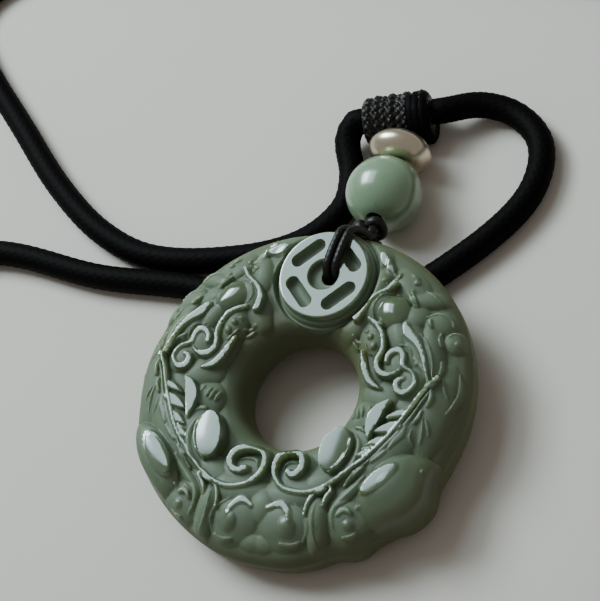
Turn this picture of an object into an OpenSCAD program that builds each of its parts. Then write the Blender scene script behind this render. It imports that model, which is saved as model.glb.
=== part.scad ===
// Carved ring pendant with a pair of mirrored beasts and a pierced coin, on a braided neck cord.
// It lies on a level surface. Its back leans on its own cord, which passes under the upper part.
// Millimetres, +Z up, the surface at z = 0.

/* [Carved ring] */
// Diameter of the ring
ring_d = 50; // [49:0.5:51]
// Diameter of the hole in the middle of the ring
eye_d = 16.8; // [16:0.2:17.4]
// Height of the outer wall, from the back to where the front starts to curve
wall_h = 5.1; // [4.6:0.1:5.6]
// Height of the ground of the carving over the back, at the crest
ground_h = 8.6; // [8.2:0.1:9]
// How high the carving stands over its ground, as a share of the charted rises
carve_share = 1; // [0.7:0.05:1.2]
// How far the ring leans back on the cord, in degrees
lean = 7; // [6.9:0.1:8]

/* [Coin] */
// Diameter of the coin's flat face
coin_d = 13.2; // [13:0.1:13.8]
// Height of the coin's face over the ring's back
coin_h = 9.5; // [9.2:0.1:9.8]
// Diameter of the cord hole through the coin
coin_hole_d = 4; // [3.8:0.1:4.2]
// Length of each of the coin's four slots
slot_l = 5.4; // [5:0.1:5.6]
// Width of each slot
slot_w = 1.9; // [1.6:0.1:2.1]
// Depth of each slot
slot_depth = 1.1; // [0.8:0.1:1.4]

/* [Beads and knots] */
// Diameter of the round stone bead
bead_d = 11.6; // [11:0.1:12]
// Diameter of the metal spacer bead
spacer_d = 9.8; // [9.2:0.1:10.2]
// Thickness of the metal spacer bead
spacer_h = 4.5; // [4:0.1:4.8]
// Diameter of the bores through both beads
bore_d = 2.6; // [2.4:0.1:3]
// Diameter of the woven barrel knot
barrel_d = 8.6; // [8:0.1:8.8]
// Length of the woven barrel knot
barrel_l = 10.8; // [10:0.1:11.2]

/* [Cords] */
// Diameter of the braided neck cord
neck_d = 4; // [3.6:0.1:4]
// Diameter of one strand of the thin hanging loop
strand_d = 1.1; // [0.9:0.05:1.1]
// Diameter of the doubled thread through the beads
thread_d = 1.8; // [1.4:0.1:1.9]

/* [Hidden] */

$fn = 48;

// Colours of the pieces
jade = [0.49, 0.60, 0.50];
dark_cord = [0.09, 0.08, 0.08];
warm_silver = [0.72, 0.68, 0.62];

// Places: the ring's middle, then the coin's middle and the ring's own heights, in the ring's frame
ring_r = ring_d / 2;
eye_r = eye_d / 2;
back_z = -4.5;
back_r = ring_r - 1.8;
ring_y = -15.5;
lift = back_r * sin(lean) - back_z * cos(lean);
coin_x = 0.8;
coin_y = 16.6;
coin_z = back_z + coin_h;

// The coin's steps: how far each goes out and down, and the blank that they are cut from
step_out = 0.45;
step_down = 0.9;
blank_r = coin_d / 2 + 2 * step_out;
moat_r = blank_r + 0.9;

// Places on the surface: the knot, the two beads and the woven knot that the cord's ends go into
knot_at = [3.7, 12.2, 8.4];
bead_at = [2.3, 19.8, bead_d / 2];
spacer_at = [2.4, 28.1, spacer_d / 2];
barrel_at = [0.2, 35.1, barrel_d / 2];
barrel_turn = 13;
gap = 0.15;

// Grid of the carved ring: steps round it and steps across its front
round_steps = 120;
front_steps = 23;

// Outer radius of the ring against the angle up from the +X side, for one half
// columns: angle, share of the ring's radius
OUTLINE = [[-90, 0.980], [-80, 0.984], [-72, 0.968], [-65, 0.958], [-57, 0.988], [-51, 0.968],
           [-46, 0.952], [-38, 1.000], [-31, 0.992], [-24, 0.950], [-17, 0.968], [-5, 0.984],
           [12, 0.992], [30, 1.000], [55, 1.000], [75, 0.990], [90, 0.980]];

// Ground of the carving across the front, from the hole's wall to the outer wall
// columns: share of the way out, share of the height between the outer wall's top and the crest
GROUND = [[0, -0.30], [0.03, 0.20], [0.085, 0.60], [0.17, 0.84], [0.31, 0.97], [0.52, 1.00],
          [0.73, 0.86], [0.87, 0.62], [0.95, 0.35], [1, 0]];

// Rounded forms of one beast
// columns: name, x, y, half length, half width, turn of the length, rise
FORMS = [
    ["eye",            12.0,  12.4, 2.4, 2.3,   0, 1.5],
    ["brow_pad",       15.6,  14.6, 3.4, 1.6, -40, 0.7],
    ["cheek_mane",     17.6,   7.6, 5.4, 2.1, -58, 1.1],
    ["muzzle",          9.9,   7.6, 2.7, 1.7, -55, 1.1],
    ["jaw",            11.4,   2.6, 3.2, 1.6, -40, 0.9],
    ["cheek",          13.2,   7.2, 2.6, 2.0, -50, 0.6],
    ["claw_inner",     10.0,  -2.4, 0.8, 0.5,  70, 0.9],
    ["claw_middle",    10.9,  -2.1, 0.9, 0.5,  75, 0.9],
    ["claw_outer",     11.8,  -2.2, 1.0, 0.5,  80, 0.9],
    ["foreleg",        11.4,  -6.6, 4.4, 3.2,  75, 0.7],
    ["knee",            9.3,  -8.8, 3.6, 2.3,  80, 1.6],
    ["wing_root",      13.8,  -2.8, 2.9, 1.5,  62, 1.1],
    ["haunch",         18.1, -12.2, 5.6, 4.0,  44, 1.7],
    ["tail_pad",        3.2, -12.4, 3.4, 3.1,   0, 0.7],
    ["cloud_near",      3.6, -19.6, 3.0, 2.9,   0, 1.2],
    ["cloud_far",      12.0, -18.6, 3.0, 2.8,   0, 1.1],
    ["stem",            8.1, -19.6, 3.8, 1.3,  80, 0.9]
];

// Raised lines of one beast: each is a list of points
BROW = [[7.5, 10.4], [8.2, 12.7], [9.6, 14.6], [12.0, 16.3]];
LIP = [[9.4, 10.4], [11.6, 9.0], [12.3, 6.6], [12.3, 4.4], [13.4, 2.9], [15.2, 3.0], [16.2, 4.6]];
JAW_EDGE = [[9.0, 5.8], [10.0, 3.2], [11.6, 1.2], [13.6, 0.4]];
SPINE = [[20.4, 6.0], [20.2, 2.2], [18.6, -2.2], [16.6, -6.2], [13.6, -10.4], [10.6, -13.4], [7.6, -15.2]];
TAIL = [[7.6, -15.2], [5.2, -15.7], [3.0, -15.6]];
STEM = [[7.6, -15.2], [7.2, -17.6], [7.8, -20.6]];

// A flat spiral: its middle, its outer and inner radius, its first angle and how far it turns
function curl(x, y, outer, inner, from, turn) = [for (k = [0:8])
    let (t = k / 8, r = outer + (inner - outer) * t, a = from + turn * t) [x + r * cos(a), y + r * sin(a)]];

// Feather barbs: short lines that leave the spine on one side
BARB_ROOTS = [[19.4, -0.2], [18.3, -2.8], [17.0, -5.4], [15.4, -8.0], [13.6, -10.4]];
function barb(root, dx, dy) = [root, root + [dx, dy]];

// columns: points, half width, rise
LINES = concat(
    [
        [BROW, 0.8, 1.0],
        [LIP, 0.7, 0.8],
        [JAW_EDGE, 0.7, 0.7],
        [SPINE, 0.9, 1.0],
        [TAIL, 0.8, 1.1],
        [STEM, 0.7, 0.9],
        [curl(3.1, -12.6, 3.0, 0.9, -92, -400), 0.75, 1.2],
        [curl(14.4, 4.7, 2.0, 0.7, -20, 330), 0.7, 1.2],
        [curl(17.0, 1.6, 1.8, 0.6, 100, -330), 0.7, 1.2],
        [curl(3.6, -19.6, 2.4, 0.8, 170, -330), 0.6, 1.3],
        [curl(12.0, -18.6, 2.4, 0.8, 150, -330), 0.6, 1.2]
    ],
    [for (root = BARB_ROOTS) [barb(root, -3.0, -0.6), 0.6, 0.9]],
    [for (root = BARB_ROOTS) [barb(root, 1.2, -2.8), 0.6, 0.7]]
);

function reach(points) = max([for (p = points) norm(p - points[0])]);
LINE_REACH = [for (l = LINES) reach(l[0]) + l[1]];

// Rise of one rounded form at a point
function form_rise(p, f) = let (
    dx = p.x - f[1],
    dy = p.y - f[2],
    along = (dx * cos(f[5]) + dy * sin(f[5])) / f[3],
    across = (dy * cos(f[5]) - dx * sin(f[5])) / f[4],
    left = 1 - along * along - across * across
) left > 0 ? f[6] * pow(left, 0.6) : 0;

// Distance from a point to the stretch from a to b
function from_stretch(p, a, b) = let (
    ab = b - a,
    t = max(0, min(1, (p - a) * ab / (ab * ab)))
) norm(p - a - t * ab);

// Rise of one raised line at a point
function line_rise(p, i) = let (l = LINES[i], points = l[0])
    norm(p - points[0]) > LINE_REACH[i] ? 0 :
    let (d = min([for (k = [1:len(points) - 1]) from_stretch(p, points[k - 1], points[k])]) / l[1])
    d < 1 ? l[2] * (1 - d * d) : 0;

// Rise of the carving at a point of the right half: the forms touch in grooves, the lines ride on them
function carving(p) = let (
    forms = max([for (f = FORMS) form_rise(p, f)]),
    lines = max([for (i = [0:len(LINES) - 1]) line_rise(p, i)]),
    clear = min(1, max(0, (norm([p.x - coin_x, p.y - coin_y]) - coin_d / 2 - 1) / 1.2)),
    rim = min(1, max(0, (ring_r * 0.985 - norm(p)) / 1.2)),
    eye_edge = min(1, max(0, (norm(p) - eye_r) / 1.6))
) carve_share * clear * rim * eye_edge * max(forms, 0.35 * forms + lines * 0.9);

// One ray of the front, from the hole's wall out to the outer wall, for an angle of the right half
function front_ray(a) = let (edge = ring_r * lookup(a, OUTLINE)) [for (j = [0:front_steps])
    let (
        s = j / front_steps,
        r = eye_r - 0.2 + (edge - eye_r + 0.2) * s,
        p = [r * cos(a), r * sin(a)],
        ground = back_z + wall_h + (ground_h - wall_h) * lookup(s, GROUND),
        from_coin = norm([p.x - coin_x, p.y - coin_y])
    ) [r, from_coin < blank_r ? coin_z + 0.6 : ground + carving(p)]];

// The rest of the section, from the outer wall round the back to the hole's wall
function back_ray(a) = let (edge = ring_r * lookup(a, OUTLINE)) [
    [edge, back_z + 1.8], [edge - 0.55, back_z + 0.55], [edge - 1.8, back_z],
    [eye_r + 1.2, back_z], [eye_r - 0.2, back_z + 0.6]
];

half_steps = round_steps / 2;
function half_angle(i) = -90 + 180 * i / half_steps;
RAYS = [for (i = [0:half_steps]) concat(front_ray(half_angle(i)), back_ray(half_angle(i)))];

// The carved ring's skin: the right half's rays, and the same rays mirrored on the left
module carved_skin() {
    section = len(RAYS[0]);
    points = [for (i = [0:round_steps - 1])
        let (
            right = i <= half_steps,
            k = right ? i : round_steps - i,
            a = right ? half_angle(k) : 180 - half_angle(k)
        )
        for (q = RAYS[k]) [q[0] * cos(a), q[0] * sin(a), q[1]]];
    function corner(i, j) = (i % round_steps) * section + j % section;
    faces = [for (i = [0:round_steps - 1], j = [0:section - 1], half = [0, 1])
        half == 0
            ? [corner(i, j), corner(i, j + 1), corner(i + 1, j + 1)]
            : [corner(i, j), corner(i + 1, j + 1), corner(i + 1, j)]];
    polyhedron(points, faces);
}

// What is cut away round the coin: its face, its two steps and the groove at its foot
module coin_surround() {
    translate([coin_x, coin_y, coin_z]) difference() {
        translate([0, 0, -2.4 * step_down]) cylinder(r = moat_r, h = 4, $fn = 96);
        for (k = [0:2]) translate([0, 0, -4]) cylinder(d = coin_d + 2 * k * step_out, h = 4 - k * step_down, $fn = 96);
    }
}

module slot() {
    run = slot_l - slot_w;
    linear_extrude(slot_depth + 1) {
        square([run, slot_w], center = true);
        for (side = [-1, 1]) translate([side * run / 2, 0]) circle(d = slot_w);
    }
}

module coin_cuts() {
    slot_ring_r = 4.35;
    coin_surround();
    translate([coin_x, coin_y, 0]) {
        translate([0, 0, back_z - 1]) cylinder(d = coin_hole_d, h = coin_h + 3);
        translate([0, 0, coin_z - 0.35]) cylinder(d1 = coin_hole_d, d2 = coin_hole_d + 0.8, h = 0.4);
        for (a = [45:90:315]) rotate([0, 0, a]) translate([slot_ring_r, 0, coin_z - slot_depth])
            rotate([0, 0, 90]) slot();
    }
}

// Puts what is in the ring's own frame where it lies
module laid() {
    translate([0, ring_y, lift]) rotate([lean, 0, 0]) children();
}

module jade_ring() {
    color(jade) laid() difference() {
        carved_skin();
        cylinder(r = eye_r, h = 12, center = true, $fn = 96);
        coin_cuts();
    }
}

// A smooth curve through route points, with about one ring for each given length. At each point it
// heads along the line between that point's neighbours.
function curve_at(b, c, from, to, t) = let (len = norm(c - b))
    (1 - t) * (1 - t) * ((1 + 2 * t) * b + t * len * from) + t * t * ((3 - 2 * t) * c - (1 - t) * len * to);
function heading(route, i) = let (
    n = len(route),
    v = route[min(n - 1, i + 1)] - route[max(0, i - 1)]
) v / norm(v);
function smoothed(route, spacing) = concat(
    [for (i = [0:len(route) - 2])
        let (steps = max(1, round(norm(route[i + 1] - route[i]) / spacing)))
        for (k = [0:steps - 1])
            curve_at(route[i], route[i + 1], heading(route, i), heading(route, i + 1), k / steps)],
    [route[len(route) - 1]]);

// A closed tube along a line of points, with a ring of corners at each of them
module tube(line, d, sides = 8) {
    n = len(line);
    function ahead(i) = let (v = line[min(n - 1, i + 1)] - line[max(0, i - 1)]) v / norm(v);
    function side(i) = let (t = ahead(i), up = abs(t.z) > 0.9 ? [1, 0, 0] : [0, 0, 1], v = cross(t, up)) v / norm(v);
    points = [for (i = [0:n - 1]) let (s = side(i), u = cross(s, ahead(i)))
        for (k = [0:sides - 1]) let (a = 360 * (k + 0.5) / sides)
            line[i] + d / 2 / cos(180 / sides) * (cos(a) * s + sin(a) * u)];
    faces = concat(
        [[for (k = [0:sides - 1]) k]],
        [[for (k = [sides - 1:-1:0]) (n - 1) * sides + k]],
        [for (i = [0:n - 2], k = [0:sides - 1], half = [0, 1])
            let (a = i * sides + k, b = i * sides + (k + 1) % sides)
            half == 0 ? [a, a + sides, b + sides] : [a, b + sides, b]]
    );
    polyhedron(points, faces);
}

// The thin loop: out of the coin's hole over its face to the knot, and from the hole's back under the ring.
// The points are in the ring's own frame, for the middle of the doubled strand.
LOOP = [[3.4, 27.2, -0.05], [3.1, 26.6, 1.9], [2.9, 25.6, 3.9], [2.7, 24.1, 5.6], [2.3, 21.6, 5.9],
        [1.9, 19.2, 5.9], [1.3, 17.5, 5.2], [0.9, 17, 2], [0.9, 17, -4.2], [1.1, 18.5, -5.3],
        [2.6, 24.4, -5.3], [3.4, 26.1, -4.05]];

module hanging_loop() {
    color(dark_cord) laid() for (side = [-1, 1])
        translate([side * (strand_d + gap) / 2, 0, 0]) tube(LOOP, strand_d);
}

// The small round knot below the bead, with three turns of strand
module lower_knot() {
    turn_r = 1.55;
    color(dark_cord) translate(knot_at) rotate([0, 90, 0]) {
        cylinder(r = turn_r, h = 3.6, center = true);
        for (k = [-1:1]) translate([0, 0, 1.25 * k])
            rotate_extrude() translate([turn_r, 0]) circle(d = 1.1, $fn = 24);
    }
}

// A round bead with its bore along +Z
bead_axis = [-4, 78, -18];
module along(v) {
    rotate([0, acos(v.z / norm(v)), atan2(v.y, v.x)]) children();
}

module jade_bead() {
    color(jade) translate(bead_at) along(bead_axis) difference() {
        sphere(d = bead_d, $fn = 64);
        cylinder(d = bore_d, h = bead_d + 1, center = true);
    }
}

// The metal spacer: a flat round bead with a full round edge
module metal_spacer() {
    color(warm_silver) translate(spacer_at) rotate([90, 0, 0]) rotate_extrude() {
        translate([bore_d / 2, -spacer_h / 2]) square([spacer_d / 2 - spacer_h / 2 - bore_d / 2, spacer_h]);
        difference() {
            translate([spacer_d / 2 - spacer_h / 2, 0]) circle(d = spacer_h);
            translate([-spacer_h, -spacer_h]) square([spacer_d / 2 - spacer_h / 2 + spacer_h, 2 * spacer_h]);
        }
    }
}

// The doubled thread through both beads, from the knot's side to the woven knot
bead_run = bead_axis / norm(bead_axis) * (bead_d / 2);
THREAD = [bead_at - bead_run, bead_at + bead_run,
          spacer_at - [0, spacer_h / 2, 0], spacer_at + [0, spacer_h / 2, 0],
          [barrel_at.x + 1.9, barrel_at.y - barrel_d / 2 + 0.25, spacer_at.z]];

module bead_thread() {
    color(dark_cord) tube(THREAD, thread_d);
}

// The woven barrel knot: round turns side by side on a core
module woven_knot() {
    turns = 6;
    turn_d = 1.9;
    core_r = barrel_d / 2 - turn_d / 2;
    color(dark_cord) translate(barrel_at) rotate([0, 90, barrel_turn]) {
        cylinder(r = core_r, h = barrel_l, center = true);
        for (k = [0:turns - 1]) translate([0, 0, (k - (turns - 1) / 2) * (barrel_l - turn_d) / (turns - 1)])
            rotate_extrude() translate([core_r, 0]) circle(d = turn_d, $fn = 24);
    }
}

// The neck cord's route over the surface, from one end of the woven knot to its other end
neck_z = neck_d / 2;
barrel_axis = [cos(barrel_turn), sin(barrel_turn), 0];
barrel_exit = barrel_l / 2 + gap;
NECK_ROUTE = concat(
    [barrel_at + barrel_exit * barrel_axis, barrel_at + (barrel_exit + 1.5) * barrel_axis, [12.4, 39, 3]],
    [for (p = [
        [18.2, 38], [22.9, 33], [23.6, 25.6], [20.8, 18.8], [13.6, 10], [5, 2.2], [-1, -2],
        [-8.5, -2.2], [-23, 2.4], [-42.6, 3], [-63, 5.6], [-72, 2], [-75.4, -8], [-64, -40],
        [-55, -52.5], [-42, -57.6], [35, -45.4], [46, -40.4], [49.6, -30], [37, 48], [31, 61],
        [22, 66], [-68, 66], [-82, 64], [-88.4, 57], [-86.8, 49.4], [-66, 28.2], [-55.8, 18.6],
        [-45, 11], [-34.4, 7.4], [-20.4, 8.6], [-10.4, 12.4], [-5.4, 18.8], [-5.6, 25.2]
    ]) [p.x, p.y, neck_z]],
    [[-7.6, 30.8, 3.2], barrel_at - (barrel_exit + 1.5) * barrel_axis, barrel_at - barrel_exit * barrel_axis]
);

module neck_cord() {
    color(dark_cord) tube(smoothed(NECK_ROUTE, 24), neck_d);
}

jade_ring();
hanging_loop();
lower_knot();
jade_bead();
metal_spacer();
bead_thread();
woven_knot();
neck_cord();
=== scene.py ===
# %% [markdown]
# # A carved ring pendant on a braided cord
# The object is a necklace laid out flat: a thick stone ring with two mirrored beasts, a thin cord through
# a carved coin, a stone bead, a metal spacer, a woven knot and one long neck cord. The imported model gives
# every piece its place, so this scene starts by loading it and only adds the looks.

import math

import bmesh
import bpy
import numpy as np
from mathutils import Matrix, Vector


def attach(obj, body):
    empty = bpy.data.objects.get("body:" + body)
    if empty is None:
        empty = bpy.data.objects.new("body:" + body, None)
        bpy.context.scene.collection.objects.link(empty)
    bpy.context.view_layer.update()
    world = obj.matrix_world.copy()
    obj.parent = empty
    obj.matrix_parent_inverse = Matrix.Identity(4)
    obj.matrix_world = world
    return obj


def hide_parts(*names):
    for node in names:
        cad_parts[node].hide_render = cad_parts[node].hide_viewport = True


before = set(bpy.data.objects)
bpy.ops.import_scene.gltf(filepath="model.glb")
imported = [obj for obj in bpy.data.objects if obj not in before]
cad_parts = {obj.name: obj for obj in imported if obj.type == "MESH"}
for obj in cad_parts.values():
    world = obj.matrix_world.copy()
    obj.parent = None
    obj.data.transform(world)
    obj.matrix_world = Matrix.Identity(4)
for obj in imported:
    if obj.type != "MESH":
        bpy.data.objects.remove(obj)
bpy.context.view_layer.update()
MM = 0.001
print("nodes:", sorted(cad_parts))

# %% [markdown]
# ## Camera
# A small thing is photographed with a long lens from close by. The camera looks down at the ring from the
# front right, a little less than square on. A Track To constraint could aim it, but the view is also
# rolled a little, so the directions of the camera's right side and of its top are written out instead.

# %% Place the camera
CAMERA_PLACE = Vector((93.213, -105.942, 203.751)) * MM
CAMERA_RIGHT = Vector((0.91078, 0.27705, -0.30614))
CAMERA_UP = Vector((-0.09091, 0.85783, 0.50583))
FOCAL_LENGTH = 100
SENSOR_WIDTH = 36
NEAREST_SEEN = 0.01

lens = bpy.data.cameras.new("camera")
lens.lens = FOCAL_LENGTH
lens.sensor_width = SENSOR_WIDTH
lens.clip_start = NEAREST_SEEN
camera = bpy.data.objects.new("camera", lens)
bpy.context.scene.collection.objects.link(camera)
turn = Matrix((CAMERA_RIGHT, CAMERA_UP, CAMERA_RIGHT.cross(CAMERA_UP))).transposed()
camera.matrix_world = Matrix.Translation(CAMERA_PLACE) @ turn.to_4x4()
bpy.context.scene.camera = camera
print("camera", round(CAMERA_PLACE.length / MM), "mm from the middle")

# %% [markdown]
# ## How a cord is made
# A cord could be a curve with a round bevel, but then its braid would be paint. Here a flat grid is
# wrapped round the route instead. Each point of the grid knows how far along and how far round it is, so
# the braid can be real relief that catches the light and shows at the outline.

# %% Smooth a route through given points
def smooth_route(route, spacing):
    """The same curve as the solid's: at each point it heads along the line between the point's neighbours."""
    route = np.array(route, float)
    last = len(route) - 1
    ahead = np.array([route[min(last, i + 1)] - route[max(0, i - 1)] for i in range(last + 1)])
    ahead /= np.linalg.norm(ahead, axis=1)[:, None]
    line = []
    for i in range(last):
        span = np.linalg.norm(route[i + 1] - route[i])
        steps = max(2, round(span / spacing))
        t = (np.arange(steps) / steps)[:, None]
        from_here = (1 - t) ** 2 * ((1 + 2 * t) * route[i] + t * span * ahead[i])
        to_next = t ** 2 * ((3 - 2 * t) * route[i + 1] - (1 - t) * span * ahead[i + 1])
        line.append(from_here + to_next)
    return np.vstack(line + [route[-1:]])


def run_of(line):
    """Distance along a line of points, from its start."""
    return np.concatenate([[0], np.cumsum(np.linalg.norm(np.diff(line, axis=0), axis=1))])


bend = smooth_route([(0, 0, 0), (10, 0, 0), (10, 10, 0)], spacing=1)
print("a corner of two 10 mm sides, made smooth, is", round(run_of(bend)[-1], 1), "mm long")


# %% Put a mesh into the scene
def link_mesh(name, bm):
    """Turns a bmesh into an object of the scene."""
    mesh = bpy.data.meshes.new(name)
    bm.to_mesh(mesh)
    bm.free()
    thing = bpy.data.objects.new(name, mesh)
    bpy.context.scene.collection.objects.link(thing)
    return thing


def add_piece(name, bm):
    """A smooth-shaded piece of the necklace."""
    piece = link_mesh(name, bm)
    piece.data.polygons.foreach_set("use_smooth", [True] * len(piece.data.polygons))
    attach(piece, "root")
    print(name, "has", len(piece.data.polygons), "faces")
    return piece


# %% Wrap a grid round a route
# Points that lie this close at a seam, in metres, become one
SEAM_GAP = 1e-7


def side_ways(line):
    """Two directions square to the line at each point, carried along without twist."""
    ahead = np.gradient(line, axis=0)
    ahead /= np.linalg.norm(ahead, axis=1)[:, None]
    side = np.cross(ahead[0], [0, 0, 1.0])
    side /= np.linalg.norm(side)
    sides = []
    for a in ahead:
        side = side - a * (side @ a)
        side = side / np.linalg.norm(side)
        sides.append(side)
    sides = np.array(sides)
    return sides, np.cross(sides, ahead)


def wrapped_tube(name, line, radius, step, around, relief):
    """A tube along a line of points in mm, with faces one step long and a given number of them around.

    The radius is a number, or a function of the distance along. relief(along, turn) gives how far the surface
    stands out from it, in mm.
    """
    along = run_of(line)
    rings = round(along[-1] / step)
    at = np.linspace(0, along[-1], rings + 1)
    centre = np.stack([np.interp(at, along, line[:, k]) for k in range(3)], 1)
    side, up = side_ways(centre)
    bm = bmesh.new()
    bmesh.ops.create_grid(bm, x_segments=rings, y_segments=around, size=1)
    grid = np.array([v.co[:] for v in bm.verts])
    ring = np.rint((grid[:, 0] + 1) / 2 * rings).astype(int)
    turn = (grid[:, 1] + 1) / 2 * 2 * math.pi
    out = radius(at[ring]) if callable(radius) else radius
    out = out + relief(at[ring], turn)
    outwards = np.cos(turn)[:, None] * side[ring] + np.sin(turn)[:, None] * up[ring]
    place = centre[ring] + out[:, None] * outwards
    for v, p in zip(bm.verts, place * MM):
        v.co = p
    bmesh.ops.remove_doubles(bm, verts=bm.verts, dist=SEAM_GAP)
    bmesh.ops.holes_fill(bm, edges=[e for e in bm.edges if e.is_boundary], sides=0)
    bmesh.ops.recalc_face_normals(bm, faces=bm.faces)
    return add_piece(name, bm)


# %% The braid of a round cord
# How round a strand is across itself, and how little it bends along itself
STRAND_ACROSS = 0.8
STRAND_ALONG = 0.35


def braid(strands, pitch, depth):
    """Relief of a plain round braid: two families of strands that cross and pass over each other in turn."""
    def relief(along, turn):
        right = strands * turn / (2 * math.pi) + along / pitch
        left = strands * turn / (2 * math.pi) - along / pitch
        right_is_over = (np.floor(right) + np.floor(left)) % 2 < 1
        right_bow = np.abs(np.cos(math.pi * (right - np.floor(right) - 0.5)))
        left_bow = np.abs(np.cos(math.pi * (left - np.floor(left) - 0.5)))
        wide = np.where(right_is_over, right_bow, left_bow)
        long = np.where(right_is_over, left_bow, right_bow)
        return depth * (wide ** STRAND_ACROSS * long ** STRAND_ALONG - 1)
    return relief


groove = braid(strands=12, pitch=1.6, depth=0.17)(np.zeros(1), np.zeros(1))
print("the deepest groove of the neck cord's braid:", round(float(groove[0]), 2), "mm")


# %% [markdown]
# ## Neck cord
# On the real necklace this is about 0.66 m of round braided cord, 4 mm thick. It leaves one end of the
# woven knot, makes a tight turn beside the bead, passes under the ring and goes once round before it
# comes back to the other end of the knot. It is limp and lies on the surface, so its middle stays one
# radius above it. A simulation could drop it there, but the route then wouldn't follow the solid's, so
# the same points are used.

# %% Neck cord
NECK_D = 4.0
# The braid's crests stand a little proud of the cord's own thickness
NECK_PROUD = 0.07
BARREL_AT = np.array([0.2, 35.1, 4.3])
BARREL_TURN = math.radians(13)
BARREL_AXIS = np.array([math.cos(BARREL_TURN), math.sin(BARREL_TURN), 0.0])
BARREL_HALF = 5.4
BARREL_EXIT = BARREL_HALF + 0.15
STRAIGHT_ON = BARREL_EXIT + 1.5
# columns: x, y in mm, the same points as the solid's route
NECK_ON_FLOOR = [
    (18.2, 38), (22.9, 33), (23.6, 25.6), (20.8, 18.8), (13.6, 10), (5, 2.2), (-1, -2),
    (-8.5, -2.2), (-23, 2.4), (-42.6, 3), (-63, 5.6), (-72, 2), (-75.4, -8), (-64, -40),
    (-55, -52.5), (-42, -57.6), (35, -45.4), (46, -40.4), (49.6, -30), (37, 48), (31, 61),
    (22, 66), (-68, 66), (-82, 64), (-88.4, 57), (-86.8, 49.4), (-66, 28.2), (-55.8, 18.6),
    (-45, 11), (-34.4, 7.4), (-20.4, 8.6), (-10.4, 12.4), (-5.4, 18.8), (-5.6, 25.2),
]
NECK_ROUTE = (
    [BARREL_AT + BARREL_EXIT * BARREL_AXIS, BARREL_AT + STRAIGHT_ON * BARREL_AXIS, (12.4, 39, 3)]
    + [(x, y, NECK_D / 2) for x, y in NECK_ON_FLOOR]
    + [(-7.6, 30.8, 3.2), BARREL_AT - STRAIGHT_ON * BARREL_AXIS, BARREL_AT - BARREL_EXIT * BARREL_AXIS]
)
neck_line = smooth_route(NECK_ROUTE, spacing=1.5)
neck = wrapped_tube("neck_cord_braid", neck_line, radius=NECK_D / 2 + NECK_PROUD, step=0.25, around=36,
                    relief=braid(strands=12, pitch=1.6, depth=0.17))
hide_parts("neck_cord")

# %% [markdown]
# ## The ring's own frame
# The ring leans back on the cord by seven degrees. It is far easier to carve it lying square, so its
# shape is worked out in its own frame, in millimetres, with the middle of the ring at the origin, and
# only then laid down.

# %% From the ring's frame to the necklace's frame
LEAN = math.radians(7)
BACK = -4.5
BACK_R = 23.2
RING_Y = -15.5
LIFT = BACK_R * math.sin(LEAN) - BACK * math.cos(LEAN)


def laid(points):
    """Millimetres in the ring's frame to metres in the necklace's frame."""
    x, y, z = np.asarray(points, float).T
    forward = y * math.cos(LEAN) - z * math.sin(LEAN) + RING_Y
    high = y * math.sin(LEAN) + z * math.cos(LEAN) + LIFT
    return np.stack([x, forward, high], 1) * MM


print("the ring's middle lies", round(LIFT, 2), "mm above the surface")

# %% [markdown]
# ## Carved ring
# The ring is a flat sheet wrapped twice: round the ring's section, and round the ring. The carving is a
# height map worked out from a short chart, not sculpted by hand, so each form can be moved and measured.
# A carver of hard stone first sinks the ground, leaves rounded bosses that touch in sharp grooves, and
# then grinds narrow ridges whose tops are polished flat. Those flat tops all face one way, which is why
# they flash together.

# %% Outline of the ring and rise of its front
RING_R = 25.0
EYE_R = 8.4
# columns: share of the way out from the hole's wall, height over the ring's middle plane
GROUND = [(0, -0.5), (0.015, 0.6), (0.05, 1.7), (0.10, 2.5), (0.18, 3.1), (0.30, 3.6), (0.42, 4.0),
          (0.54, 4.2), (0.66, 4.0), (0.80, 3.2), (0.90, 2.4), (0.96, 1.6), (1, 0.6)]
# columns: angle up from the +X side, share of the ring's radius; the right edge swells at the haunch
OUTLINE = [(-90, 1.000), (-80, 1.006), (-72, 0.998), (-65, 0.985), (-57, 1.020), (-51, 1.000),
           (-46, 1.005), (-38, 1.052), (-31, 1.048), (-25, 0.995), (-17, 0.985), (-5, 0.992),
           (12, 1.000), (30, 1.003), (55, 1.000), (75, 0.990), (90, 0.980)]
OUTLINE_LEFT = [(-90, 1.000), (-75, 1.000), (-60, 0.992), (-45, 0.995), (-30, 1.008), (-18, 0.998),
                (-5, 0.990), (12, 0.990), (30, 1.000), (55, 1.000), (75, 0.990), (90, 0.980)]
# How far the ground is sunk between the bosses
SUNK = 0.34


def eased(x, table):
    """Reads a two-column table with a smooth curve through its rows."""
    xs, ys = np.array(table, float).T
    slope = np.gradient(ys, xs)
    i = np.clip(np.searchsorted(xs, x) - 1, 0, len(xs) - 2)
    w = xs[i + 1] - xs[i]
    t = np.clip((x - xs[i]) / w, 0, 1)
    return ((1 - t) ** 2 * ((1 + 2 * t) * ys[i] + t * w * slope[i])
            + t ** 2 * ((3 - 2 * t) * ys[i + 1] - (1 - t) * w * slope[i + 1]))


def smooth_step(low, high, x):
    """0 up to low, 1 from high on, and a soft rise between them; low may also be the greater of the two."""
    t = np.clip((x - low) / (high - low), 0, 1)
    return t * t * (3 - 2 * t)


print("the haunch stands out", round(RING_R * (max(share for _, share in OUTLINE) - 1), 1), "mm")

# %% [markdown]
# ## Chart of the carving
# A beast of this kind is carved with a few sorts of form: rounded bosses, facets ground flat, narrow
# ridges and small pearls. Each row below is one form on the right half of the ring, in millimetres from
# its middle. Sculpt mode would be quicker for one look, but a chart can be read, moved and turned over
# for the left half.

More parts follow.
